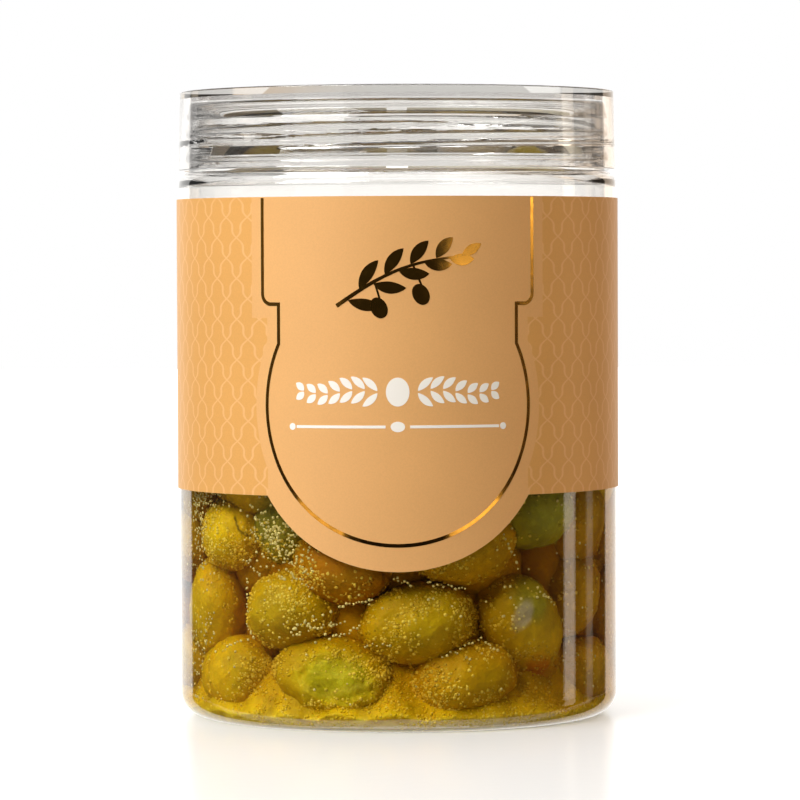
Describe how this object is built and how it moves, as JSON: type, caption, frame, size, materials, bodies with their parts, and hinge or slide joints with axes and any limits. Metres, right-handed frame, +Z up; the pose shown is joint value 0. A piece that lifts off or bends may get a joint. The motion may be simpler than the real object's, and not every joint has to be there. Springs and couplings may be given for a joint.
{
  "type": "jar of green olives",
  "caption": "Clear straight-sided screw-top jar packed with green olives in brine, with a wrap label that has a round tab.",
  "frame": {"origin": "middle of the circle on which the jar stands, at the floor", "axes": "+Z up along the jar's axis, the round tab of the label faces -Y"},
  "size_m": [0.0902, 0.0901, 0.127],
  "materials": {
    "jar": "clear moulded plastic, glossy",
    "lid": "clear moulded plastic, glossy",
    "label": "satin film, pale copper ink, gold foil line",
    "olives": "wet, softly pitted olive skin",
    "brine": "clear yellow brine"
  },
  "bodies": {
    "root": {"jar": "jar", "lid": "lid", "label": "label", "olives": "olives"}
  },
  "joints": []
}
